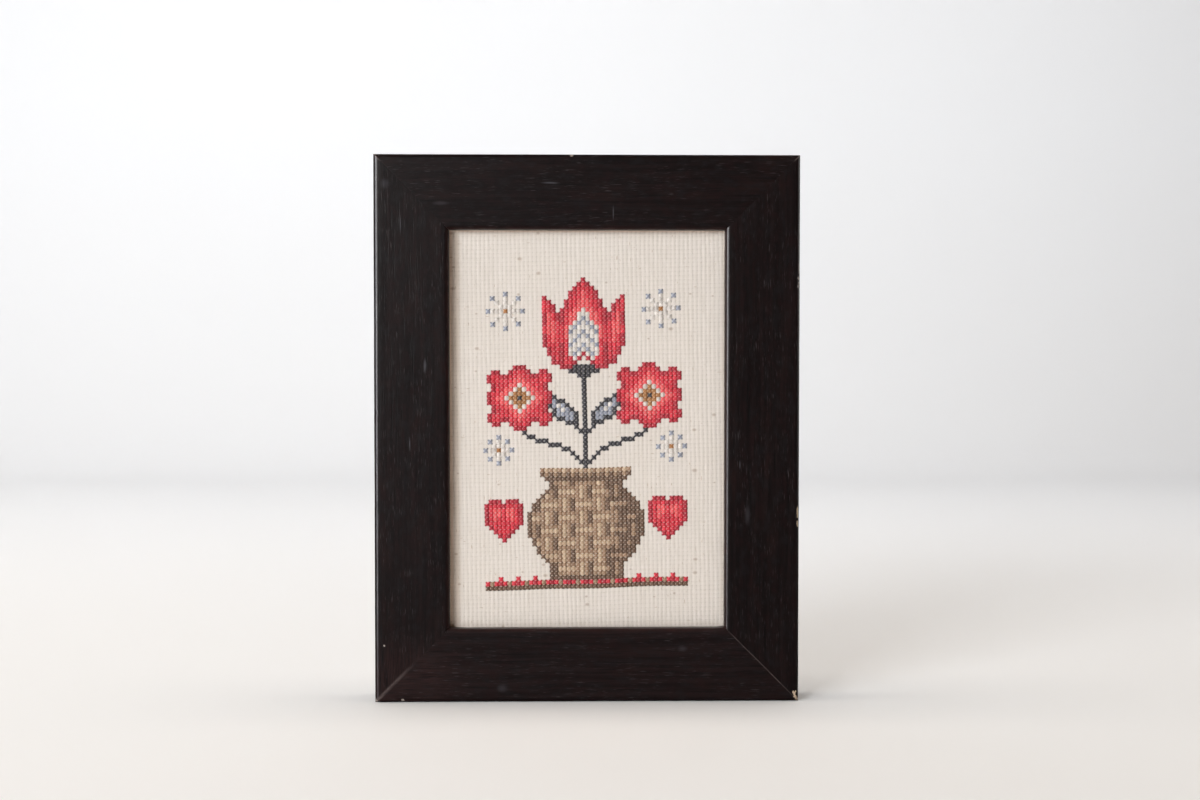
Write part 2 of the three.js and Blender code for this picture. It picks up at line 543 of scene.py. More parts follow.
    # mitres: how near the end of the rail this point is, in mm
    along = n.math("SUBTRACT", s, n.math("MULTIPLY", n.math("ROUND", n.math("DIVIDE", s, 1000.0)), 1000.0))
    side = n.math("GREATER_THAN", s, 1500.0)
    half = n.math("ADD", WIDTH / 2, n.math("MULTIPLY", side, (HEIGHT - WIDTH) / 2))
    near = n.math("SUBTRACT", n.math("SUBTRACT", half, n.math("ABSOLUTE", along)), u)
    wear = n.noise(n.vector("MULTIPLY", grain, (0.16, 0.16, 0.16)), 1.0, 2.0, 0.6)
    patchy = n.math("ADD", 0.45, n.math("MULTIPLY", n.ramp(wear, 0.38, 0.60), 0.55))
    x, _, z = n.parts(n.node("ShaderNodeTexCoord", {}, out="Object"))
    corner = n.vector("LENGTH", n.vector("MULTIPLY", n.join(n.math("ADD", x, 0.076), 0.0, n.math("SUBTRACT", z, 0.010)), (30.0, 0.0, 42.0)), out=1)
    worn_thin = n.math("MULTIPLY", n.ramp(corner, 1.0, 0.25), n.ramp(fibre, 0.35, 0.62))
    colour = n.mix(n.math("MULTIPLY", worn_thin, 0.45), colour, rgb(54, 33, 31))
    low = n.math("LESS_THAN", z, MIDDLE * MM)
    right = n.math("GREATER_THAN", x, 0.0)
    # worn soft and wide at the bottom left, a thin line at the bottom right, and only the tips at the top
    low_left = n.math("MULTIPLY", n.math("MULTIPLY", n.ramp(near, 1.5, 0.05), n.ramp(u, 20.0, 3.0)), 0.40)
    low_right = n.math("MULTIPLY", n.math("MULTIPLY", n.ramp(near, 0.40, 0.10), n.ramp(u, 31.0, 26.0)), 0.30)
    tip = n.math("MULTIPLY", n.math("MULTIPLY", n.ramp(near, 0.60, 0.10), n.ramp(u, 3.4, 1.4)), 0.50)
    foot = n.math("ADD", n.math("MULTIPLY", n.math("SUBTRACT", 1.0, right), low_left), n.math("MULTIPLY", right, low_right))
    worn_line = n.math("MAXIMUM", n.math("MULTIPLY", low, foot), tip)
    front_only = n.ramp(v, 4.0, 2.0)
    colour = n.mix(n.math("MULTIPLY", n.math("MULTIPLY", worn_line, patchy), front_only), colour, rgb(128, 114, 111))
    colour = n.mix(n.math("MULTIPLY", pale, 0.88), colour, rgb(150, 139, 132))
    colour = n.mix(n.math("MULTIPLY", tan, 0.88), colour, rgb(196, 174, 150))
    bare = n.math("MAXIMUM", pale, tan)
    # the sight edge is rubbed brown
    sight = n.math("MULTIPLY", n.ramp(u, RAIL - 1.8, RAIL - 0.2), n.ramp(v, LIP + 0.2, LIP - 0.4))
    colour = n.mix(n.math("MULTIPLY", sight, n.ramp(wear, 0.30, 0.60, 0.12, 0.34)), colour, rgb(62, 38, 35))

    # the back and the rebate have one thin coat, so the wood shows through
    thin = n.math("MAXIMUM", n.ramp(v, DEPTH - 0.9, DEPTH - 0.2), n.math("MULTIPLY", n.ramp(u, RAIL - REBATE - 0.3, RAIL - REBATE - 0.05), n.ramp(v, LIP - 0.1, LIP + 0.1)))
    back_grain = n.noise(bent_by(0.022, 1.5, 90.0), 1.0, 4.0, 0.6)
    back_colour = n.mix(n.ramp(back_grain, 0.35, 0.7), rgb(40, 28, 23), rgb(82, 58, 44))
    colour = n.mix(n.math("MULTIPLY", thin, 0.85), colour, back_colour)
    colour = n.mix(n.math("MULTIPLY", n.math("MULTIPLY", thin, n.ramp(near, 0.45, 0.10)), 0.8), colour, rgb(17, 11, 9))

    rough = n.math("ADD", 0.25, n.math("MULTIPLY", fibre, 0.14))
    rough = n.math("ADD", rough, n.math("MULTIPLY", streaks, 0.10))
    rough = n.math("ADD", rough, n.math("MULTIPLY", n.math("MAXIMUM", bare, thin), 0.30), clamp=True)
    height = n.math("ADD", fibre, n.math("MULTIPLY", n.ramp(dark, 0.55, 0.72), -0.8))
    height = n.math("SUBTRACT", height, n.math("MULTIPLY", bare, 0.8))
    return n.finish(
        **{
            "Base Color": colour,
            "Roughness": rough,
            "Specular IOR Level": 0.175,
            "Normal": n.bump(height, 0.35, 0.00006),
        }
    )


WOOD = wood()
rails = [make_rail(r, 70 + i, WOOD) for i, r in enumerate(RAILS)]
for o, r in zip(rails, RAILS):
    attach(o, "root")
    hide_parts("rail_" + r)

# ---- the sampler's chart --------------------------------------------------------

# A sampler of a basket with flowers, charted one letter a stitch. Each
# motif lists its middle column first and is mirrored about it, top row first.
#   c crimson, r red, o coral, d dark brown, b brown, t tan,
#   w white, g blue grey, k charcoal, y gold, . bare cloth

TULIP = """
c.........
rc........
rrc.......
orrc......
orrc.....c
oorrc...cr
oorrc..crr
woorrc.crr
wwoorccroc
gwoorccroc
wgworcrooc
wwgworroor
gwwgorroor
wgwworrorc
wwgwrrrorc
gwwgrcrrrc
wgwwrcrrc.
cwgwrcrrc.
.cwrrcrc..
..crrccc..
kkkccc....
kkkk......
kk........
""".split()

ROSETTE = """
cc......
rrc..cc.
orrccrrc
oorrrrrc
woorrrc.
ywoorrc.
yywoorrc
kyywoorc
yywoorrc
ywoorrc.
woorrrc.
oorrrrrc
orrccrrc
rrc..cc.
cc......
""".split()

HEART = """
.ccc.
crrrc
roorc
roorc
rrorc
rrrrc
rrrc.
rrc..
rc...
c....
""".split()

LEAF = """
.....kk
...kkgk
..kgwgk
.kgwgk.
kggggk.
kggkk..
kkk....
""".split()

STEM = [(1, 29), (2, 30), (3, 31), (4, 32), (5, 32), (6, 33), (7, 33), (8, 33), (9, 34), (10, 34), (11, 34), (12, 35), (13, 35), (14, 36)]
BASKET_HALF = [10, 10, 9, 8, 8, 9, 10, 11, 12, 12, 13, 13, 13, 13, 13, 13, 12, 12, 11, 11, 10, 9, 8, 8, 8]


def chart():
    """Every stitch of the sampler: column from the middle and row from the foot to its letter."""
    cells = {}

    def put(x, y, k):
        if k != ".":
            cells[(x, y)] = k

    def motif(rows, x, top):
        for down, row in enumerate(rows):
            for m, k in enumerate(row):
                put(x + m, top - down, k)
                put(x - m, top - down, k)

    for x in range(-23, 24):  # the band it stands on
        put(x, 0, "d")
        put(x, 1, "crbr"[abs(x) % 4])
        put(x, 2, "d" if abs(x) <= 8 else "r" if x % 4 == 0 else ".")
    for down, half in enumerate(BASKET_HALF):
        y = 27 - down
        for x in range(-half, half + 1):
            q = x / (half + 0.5)
            if down == 0:
                k = "t" if x % 2 else "b"
            elif down == 1:
                k = "b" if x % 2 else "d"
            elif down == 2:
                k = "d"
            elif ((x + 62) // 4 + (y + 60) // 3) % 2:
                k = "t" if y % 3 == 1 else "b"
            else:
                k = "btbd"[(x + 62) % 4]
            if down > 2 and q > 0.5:  # the side away from the light
                k = {"t": "b"}.get(k, "d")
            if down > 2 and not -0.9 < q < 0.86:
                k = "d"
            put(x, y, k)
    for y in range(28, 50):
        put(0, y, "k")
    for x, y in STEM + [(1, 36), (2, 37)]:
        put(x, y, "k")
        put(-x, y, "k")
    for down, row in enumerate(LEAF):
        for m, k in enumerate(row):
            put(2 + m, 44 - down, k)
            put(-2 - m, 44 - down, k)
    for side in (-1, 1):
        motif(HEART, 19 * side, 20)
        motif(ROSETTE, 15 * side, 51)
        for cx, cy, arm in ((18 * side, 64, 4), (20 * side, 32, 3)):  # snow stars
            for dx in range(-arm, arm + 1):
                for dy in range(-arm, arm + 1):
                    p, q = abs(dx), abs(dy)
                    if p == q == 0:
                        put(cx, cy, "y")
                    elif p == 0 or q == 0:
                        put(cx + dx, cy + dy, "w" if max(p, q) < arm else "g")
                    elif p == q < arm:
                        put(cx + dx, cy + dy, "g" if p == arm - 1 else "w")
    motif(TULIP, 0, 71)
    return cells


CHART = chart()
CHART_LEFT, CHART_FOOT = -1, -37  # the block where column 0 and row 0 lie, from the middle of the opening

FLOSS = {  # letter: name, colour, how deep the shade is where it goes down its holes
    "c": ("crimson", (196, 36, 58), 0.90),
    "r": ("red", (229, 53, 73), 0.90),
    "o": ("coral", (244, 109, 113), 0.88),
    "d": ("dark_brown", (128, 98, 76), 0.90),
    "b": ("brown", (182, 150, 122), 0.88),
    "t": ("tan", (216, 192, 164), 0.82),
    "w": ("white", (230, 224, 219), 0.50),
    "g": ("blue_grey", (170, 174, 188), 0.72),
    "k": ("charcoal", (66, 64, 70), 0.85),
    "y": ("gold", (192, 136, 80), 0.88),
}


# ---- the cloth ----------------------------------------------------------------

# Lattice lines within one block, as shares of it: holes sit at 0, and the
# block swells between.
LINES_A = [0.0, 0.17, 0.5, 0.83]
LINES_B = [0.0, 0.20, 0.80]
BLOCKS_A, BLOCKS_B = (-33, 33), (-47, 47)
HOLE, GROOVE_A, GROOVE_B = 0.20, 0.105, 0.06  # mm below the top of a block


def lattice(blocks, lines):
    out = [b + f for b in range(*blocks) for f in lines]
    return np.array(out + [float(blocks[1])])


def make_cloth(material):
    a, b = lattice(BLOCKS_A, LINES_A), lattice(BLOCKS_B, LINES_B)
    A, B = np.meshgrid(a, b, indexing="ij")
    x, z = on_cloth(A, B)
    fa, fb = A - np.floor(A), B - np.floor(B)
    on_a, on_b = (fa == 0), (fb == 0)
    r = np.random.default_rng(5)
    sag = np.zeros_like(x)
    sag += np.where(on_a & on_b, HOLE, 0)
    sag += np.where(on_a & ~on_b, GROOVE_A, 0)
    sag += np.where(~on_a & on_b, GROOVE_B, 0)
    edge = (~on_a & ~on_b) & (fa != 0.5)
    sag += np.where(edge, 0.04, 0)
    # what is stitched over each point, out of the four blocks round it
    blocks = np.zeros((BLOCKS_A[1] - BLOCKS_A[0] + 2, BLOCKS_B[1] - BLOCKS_B[0] + 2, 7))
    for (cx, cy), k in CHART.items():
        name, colour, depth = FLOSS[k]
        # painted light the floss throws onto the cloth, and the floss colour with painted shade where it goes down a
        # hole
        floss_bounce_light = np.sqrt(rgb(*colour))
        hole_floss_shaded = cavity(rgb(*colour), depth)
        blocks[cx + CHART_LEFT - BLOCKS_A[0] + 1, cy + CHART_FOOT - BLOCKS_B[0] + 1] = (*floss_bounce_light, *hole_floss_shaded, 1)
    round_it = np.zeros((*A.shape, 7))
    for da in (-1e-6, 1e-6):
        for db in (-1e-6, 1e-6):
            column = np.floor(A + da).astype(int) - BLOCKS_A[0] + 1
            row = np.floor(B + db).astype(int) - BLOCKS_B[0] + 1
            round_it += blocks[column, row] / 4
    share = round_it[..., 6]
    floss_bounce_light, hole_floss_shaded = (round_it[..., k : k + 3] / np.maximum(share, 0.25)[..., None] for k in (0, 3))
    sag += np.where(on_a & on_b, 0.2 * share, 0)
    # drawn in at its holes, the cloth puffs up between the stitches
    sag = np.where(on_b & ~on_a, sag * (1 - share) - 0.04 * share, sag)
    sag = np.where(on_a & ~on_b, sag * (1 - share) + 0.02 * share, sag)
    sag *= r.uniform(0.75, 1.25, sag.shape)
    sag += r.uniform(0, 0.035, sag.shape)
    # threads aren't all as thick
    sag += 0.03 * r.uniform(0, 1, (len(a), 1)) + 0.02 * r.uniform(0, 1, (1, len(b)))
    top = CLOTH_FRONT + cloth_slack(x, z)
    y = top + sag
    na, nb = A.shape
    points = np.stack([x, y, z + MIDDLE], -1).reshape(-1, 3)
    cell = np.stack([A, B, np.zeros_like(A)], -1).reshape(-1, 3)
    index = np.arange(na * nb).reshape(na, nb)
    quads = np.stack([index[:-1, :-1], index[1:, :-1], index[1:, 1:], index[:-1, 1:]], -1).reshape(-1, 4)
    faces = quads.tolist()
    # the hidden margin runs out to the cut edge, which is straight and true to the rebate
    hw, hh = (cloth_high.x - cloth_low.x) / 2, (cloth_high.z - cloth_low.z) / 2
    ring = list(index[:, 0]) + list(index[-1, 1:]) + list(index[-2::-1, -1]) + list(index[0, -2:0:-1])
    ta, tb = np.linspace(-1, 1, na), np.linspace(-1, 1, nb)
    rim = [(t * hw, -hh) for t in ta] + [(hw, t * hh) for t in tb[1:]]
    rim += [(t * hw, hh) for t in ta[-2::-1]] + [(-hw, t * hh) for t in tb[-2:0:-1]]
    rim = np.array(rim)
    n0, m = len(points), len(rim)
    thick = 1.0
    front_rim = np.stack([rim[:, 0], np.full(m, CLOTH_FRONT + 0.1), rim[:, 1] + MIDDLE], 1)
    back_rim = front_rim + np.array([0, thick, 0])
    points = np.concatenate([points, front_rim, back_rim])
    # the lattice of the rim, for the weave's material
    basis = np.linalg.inv(np.stack([AXIS_A, AXIS_B], 1) * CELL)
    rim_cell = np.concatenate([(basis @ rim.T).T, np.zeros((m, 1))], 1)
    cell = np.concatenate([cell, rim_cell, rim_cell])
    for k in range(m):
        j = (k + 1) % m
        faces.append((int(ring[k]), n0 + k, n0 + j, int(ring[j])))
        faces.append((n0 + k, n0 + m + k, n0 + m + j, n0 + j))
    faces.append(tuple(range(n0 + 2 * m - 1, n0 + m - 1, -1)))
    o = new_object("cloth_stitched", points, faces, material)
    outward(o.data)
    o.data.set_sharp_from_angle(angle=math.radians(70))
    vector_attribute(o.data, "cell", cell)
    rest = np.zeros((2 * m, 3))
    vector_attribute(o.data, "floss_bounce_light", np.concatenate([floss_bounce_light.reshape(-1, 3), rest]))
    vector_attribute(o.data, "hole_floss_shaded", np.concatenate([hole_floss_shaded.reshape(-1, 3), rest]))
    float_attribute(o.data, "stitched", np.concatenate([share.reshape(-1), rest[:, 0]]))
    # the bake map is the cloth laid flat, with its back in a strip of its own
    place = np.stack([(points[:, 0] + hw) / (2 * hw), (points[:, 2] - MIDDLE + hh) / (2 * hh)], 1)
    place[:, 1] = 0.03 + 0.97 * place[:, 1]
    place[n0 + m :, 1] *= 0.02
    uv_map(o.data, "OFBake", place)
    return o


def weave():
    n = Nodes("cream_block_weave_cloth")
    cell = n.attribute("cell")
    a, b, _ = n.parts(cell)
    fa = n.math("SUBTRACT", n.math("FRACT", n.math("ADD", a, 0.5)), 0.5)
    fb = n.math("SUBTRACT", n.math("FRACT", n.math("ADD", b, 0.5)), 0.5)
    aa, bb = n.math("ABSOLUTE", fa), n.math("ABSOLUTE", fb)
    # four threads each way to a block, each over one and under the next
    p, q = n.math("MULTIPLY", a, 4.0), n.math("MULTIPLY", b, 4.0)
    across = n.math("SINE", n.math("MULTIPLY", n.math("FRACT", p), math.pi))
    up = n.math("SINE", n.math("MULTIPLY", n.math("FRACT", q), math.pi))
    over = n.math("MODULO", n.math("ADD", n.math("ADD", n.math("FLOOR", p), n.math("FLOOR", q)), 400.0), 2.0)
    warp_on_top = n.math("MULTIPLY", across, n.math("ADD", 0.55, n.math("MULTIPLY", up, 0.45)))
    weft_on_top = n.math("MULTIPLY", up, n.math("ADD", 0.55, n.math("MULTIPLY", across, 0.45)))
    thread = n.math(
        "ADD",
        n.math("MULTIPLY", warp_on_top, over),
        n.math("MULTIPLY", weft_on_top, n.math("SUBTRACT", 1.0, over)),
    )
    to_hole = n.math("SQRT", n.math("ADD", n.math("MULTIPLY", fa, fa), n.math("MULTIPLY", fb, fb)))
    fuzz = n.noise(cell, 9.0, 3.0, 0.6)
    hole = n.ramp(n.math("ADD", to_hole, n.math("MULTIPLY", n.math("SUBTRACT", fuzz, 0.5), 0.12)), 0.17, 0.05)
    groove_a = n.ramp(aa, 0.26, 0.03)
    groove_b = n.ramp(bb, 0.20, 0.03)
    # uneven spinning: single threads run darker or paler for a way
    warp_tone = n.noise(n.vector("MULTIPLY", cell, (2.3, 0.12, 1.0)), 1.0, 2.0, 0.6)
    weft_tone = n.noise(n.vector("MULTIPLY", cell, (0.14, 2.1, 1.0)), 1.0, 2.0, 0.6)
    broad = n.noise(n.vector("MULTIPLY", cell, (0.10, 0.07, 1.0)), 1.0, 2.0, 0.5)
    colour = n.mix(n.ramp(warp_tone, 0.25, 0.75), rgb(219, 211, 203), rgb(226, 218, 211))
    colour = n.mix(n.math("MULTIPLY", n.ramp(weft_tone, 0.45, 0.75), 0.4), colour, rgb(215, 207, 198))
    colour = n.mix(n.math("MULTIPLY", n.ramp(broad, 0.4, 0.7), 0.25), colour, rgb(220, 211, 201))
    # flecks of unbleached linen lying along the threads
    fleck_up = n.noise(n.vector("ADD", n.vector("MULTIPLY", cell, (2.6, 0.55, 1.0)), (31.0, 5.0, 0.0)), 1.0, 1.0, 0.5)
    fleck_across = n.noise(n.vector("ADD", n.vector("MULTIPLY", cell, (0.5, 2.9, 1.0)), (3.0, 71.0, 0.0)), 1.0, 1.0, 0.5)
    fleck = n.math("MAXIMUM", n.ramp(fleck_up, 0.72, 0.78), n.ramp(fleck_across, 0.73, 0.79))
    colour = n.mix(n.math("MULTIPLY", fleck, 0.6), colour, rgb(168, 142, 116))
    # and now and then a brown nub spun in
    spot = n.vector("ADD", n.vector("MULTIPLY", cell, (0.20, 0.30, 0.0)), n.join(0.0, n.math("MULTIPLY", fuzz, 0.04), 0.0))
    nub = n.node("ShaderNodeTexVoronoi", {"Vector": spot, "Scale": 1.0, "Randomness": 1.0}, out="Distance", voronoi_dimensions="2D")
    which = n.node("ShaderNodeTexVoronoi", {"Vector": spot, "Scale": 1.0, "Randomness": 1.0}, out="Color", voronoi_dimensions="2D")
    kind, size, _ = n.parts(which)
    reach = n.math("ADD", 0.07, n.math("MULTIPLY", size, 0.10))
    nubs = n.math("MULTIPLY", n.ramp(n.math("DIVIDE", nub, reach), 1.0, 0.25), n.math("GREATER_THAN", kind, 0.86))
    colour = n.mix(n.math("MULTIPLY", nubs, 0.48), colour, rgb(150, 124, 104))
    # painted shadow of the lip on the cloth along the sight edges, deepest and widest at the left and warm like light
    # thrown back off the brown wood; right against the left and top lip, painted warm bounce light instead
    x, _, z = n.parts(n.vector("SCALE", n.node("ShaderNodeTexCoord", {}, out="Object"), scale=1000.0))
    from_middle = n.math("SUBTRACT", z, MIDDLE)
    painted_lip_bounce = n.math("MAXIMUM", n.ramp(x, -SIGHT_W / 2 + 1.9, -SIGHT_W / 2 + 0.5), n.math("MULTIPLY", n.ramp(from_middle, SIGHT_H / 2 - 1.3, SIGHT_H / 2 - 0.3), 0.6))
    at_left = n.math("SUBTRACT", n.ramp(x, -SIGHT_W / 2 + 5.4, -SIGHT_W / 2 + 2.4), painted_lip_bounce, clamp=True)
    at_top = n.math("MULTIPLY", n.ramp(from_middle, SIGHT_H / 2 - 5.0, SIGHT_H / 2 - 1.0), 0.36)
    at_right = n.math("MULTIPLY", n.ramp(x, SIGHT_W / 2 - 2.0, SIGHT_W / 2 - 0.3), 0.40)
    at_foot = n.math("MULTIPLY", n.ramp(from_middle, -SIGHT_H / 2 + 2.5, -SIGHT_H / 2 + 0.5), 0.30)
    painted_lip_shadow = n.math("MAXIMUM", n.math("MAXIMUM", at_left, at_top), n.math("MAXIMUM", at_right, at_foot))
    # painted shadow of the lip
    colour = n.mix(n.math("MULTIPLY", painted_lip_shadow, n.ramp(broad, 0.0, 0.5, 0.75, 1.0)), colour, (0.88, 0.82, 0.765), "MULTIPLY")
    # painted warm bounce light right against the lip
    colour = n.mix(painted_lip_bounce, colour, (1.20, 1.03, 0.90), "MULTIPLY")
    shade = n.math("MULTIPLY", groove_a, 0.07)
    shade = n.math("ADD", shade, n.math("MULTIPLY", groove_b, 0.04))
    shade = n.math("ADD", shade, n.math("MULTIPLY", hole, 0.10), clamp=True)
    shade = n.math("ADD", shade, n.math("MULTIPLY", n.math("SUBTRACT", 1.0, thread), 0.05), clamp=True)
    colour = n.mix(shade, colour, rgb(112, 98, 86))
    # the cloth between the stitches gets painted light thrown onto it by the floss, and where floss goes down the holes
    # they take its colour with painted shade
    stitched = n.ramp(n.attribute("stitched", "Fac"), 0.05, 0.5)
    colour = n.mix(n.math("MULTIPLY", stitched, 0.6), colour, n.attribute("floss_bounce_light"))
    hole_shade_mask = n.ramp(to_hole, 0.30, 0.16)
    colour = n.mix(n.math("MULTIPLY", stitched, hole_shade_mask), colour, n.attribute("hole_floss_shaded"))
    height = n.math("ADD", thread, n.math("MULTIPLY", fuzz, 0.5))
    height = n.math("SUBTRACT", height, n.math("MULTIPLY", hole, 0.6))
    return n.finish(
        **{
            "Base Color": colour,
            "Roughness": 0.95,
            "Specular IOR Level": 0.15,
            "Sheen Weight": 0.15,
            "Sheen Roughness": 0.6,
            "Normal": n.bump(height, 0.5, 0.00008),
        }
    )


CLOTH = make_cloth(weave())
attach(CLOTH, "root")
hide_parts("cloth")

# ---- the stitches -------------------------------------------------------------


def floss(name, colour, depth):
    """Two strands of six-strand cotton, each twisted from two plies."""
    n = Nodes("floss_" + name)
    uv = n.node("ShaderNodeUVMap", {}, uv_map="strand")
    along, around, _ = n.parts(uv)
    tone = n.attribute("tone", "Fac")
    twist = n.math("ADD", n.math("MULTIPLY", along, 2 * math.pi * 4.0), n.math("MULTIPLY", around, 2 * math.pi * 2.0))
    ply = n.math("ABSOLUTE", n.math("SINE", n.math("MULTIPLY", twist, 0.5)))
    where = n.node("ShaderNodeTexCoord", {}, out="Object")
    fibre = n.noise(where, 5200.0, 2.0, 0.6)
    base = rgb(*colour)
    deep = cavity(base, 0.40)
    pale = tuple(min(1.0, c * 1.18 + 0.012) for c in base)
    # painted shade in the grooves between the twisted plies
    mixed = n.mix(n.ramp(ply, 0.0, 0.7), deep, base)
    mixed = n.mix(n.math("MULTIPLY", n.ramp(tone, 0.35, 1.0, smooth=False), 0.8), mixed, pale)
    mixed = n.mix(n.math("MULTIPLY", n.ramp(tone, 0.4, 0.0, smooth=False), 0.35), mixed, deep)
    mixed = n.mix(n.math("MULTIPLY", n.ramp(fibre, 0.35, 0.7), 0.2), mixed, deep)
    # a strand is packed and shaded where it goes down its hole
    end = n.ramp(n.math("ABSOLUTE", n.math("SUBTRACT", along, 0.5)), 0.33, 0.45)
    mixed = n.mix(n.math("MULTIPLY", end, 0.95), mixed, cavity(base, depth))
    # painted shade on the side that lies against the other strand of the pair: the map runs on by 4 from one strand to
    # the other
    toward = n.math("COSINE", n.math("ADD", n.math("MULTIPLY", around, 2 * math.pi), math.pi / 6))
    toward = n.math("MULTIPLY", toward, n.math("SUBTRACT", 1.0, n.math("MULTIPLY", n.math("GREATER_THAN", around, 3.5), 2.0)))
    mixed = n.mix(n.math("MULTIPLY", n.ramp(toward, 0.0, 0.9), 0.75), mixed, cavity(base, 0.8 * depth))
    height = n.math("ADD", ply, n.math("MULTIPLY", fibre, 0.35))
    return n.finish(
        **{
            "Base Color": mixed,
            "Roughness": 0.58,
            "Specular IOR Level": 0.35,
            "Sheen Weight": 0.25,
            "Sheen Roughness": 0.4,
            "Normal": n.bump(height, 0.55, 0.00005),
        }
    )


SIDES = 6


# A leg of a stitch from hole to hole: how far along, how far proud of the cloth,
# how thick, and how far its two strands lie apart.
UNDER = np.array(
    [
        (0.00, -0.34, 0.50, 0.10),
        (0.12, -0.02, 0.66, 0.50),
        (0.27, 0.15, 0.92, 0.94),
        (0.50, 0.22, 1.00, 1.00),
        (0.73, 0.15, 0.92, 0.94),
        (0.88, -0.02, 0.66, 0.50),
        (1.00, -0.34, 0.50, 0.10),
    ]
).T
OVER = np.array(
    [
        (0.00, -0.34, 0.50, 0.10),
        (0.10, 0.00, 0.64, 0.50),
        (0.22, 0.18, 0.88, 0.92),
        (0.36, 0.43, 1.00, 1.00),
        (0.50, 0.56, 1.00, 0.96),
        (0.64, 0.43, 1.00, 1.00),
        (0.78, 0.18, 0.88, 0.92),
        (0.90, 0.00, 0.64, 0.50),
        (1.00, -0.34, 0.50, 0.10),
    ]
).T


def tubes(start, end, leg, rise, wide, high, apart, rng):
    """Strands from start to end, each n by 2 in x and z. Returns their points: strand, ring, place round it."""
    n = len(start)
    along = end - start
    length = np.linalg.norm(along, axis=1, keepdims=True)
    d = along / length
    lateral = np.stack([-d[:, 1], d[:, 0]], 1)
    t, proud, swell, spread = leg
    lift = proud[None, :] * np.where(proud > 0, rise[:, None], 1.0)
    off = apart[:, None] * spread[None, :]
    bow = rng.normal(0, 0.035, (n, 1)) * np.sin(np.pi * t)[None, :]
    centre = start[:, None, :] + along[:, None, :] * t[None, :, None] + lateral[:, None, :] * (off + bow)[:, :, None]
    # slope of the lift along the strand, for rings square to it
    slope = np.gradient(lift, t, axis=1) / length
    norm = np.sqrt(1 + slope**2)
    phi = 2 * np.pi * np.arange(SIDES) / SIDES + np.pi / 6
    across = np.cos(phi)[None, None, :] * (wide[:, None] * swell[None, :] / 2)[:, :, None]
    up = np.sin(phi)[None, None, :] * (high[:, None] * swell[None, :] / 2)[:, :, None]
    out = lift[:, :, None] + up / norm[:, :, None]
    shift = -up * (slope / norm)[:, :, None]
    xz = centre[:, :, None, :] + lateral[:, None, None, :] * across[..., None] + d[:, None, None, :] * shift[..., None]
    y = CLOTH_FRONT + cloth_slack(centre[..., 0], centre[..., 1])
    return np.stack([xz[..., 0], y[:, :, None] - out, xz[..., 1] + MIDDLE], -1)


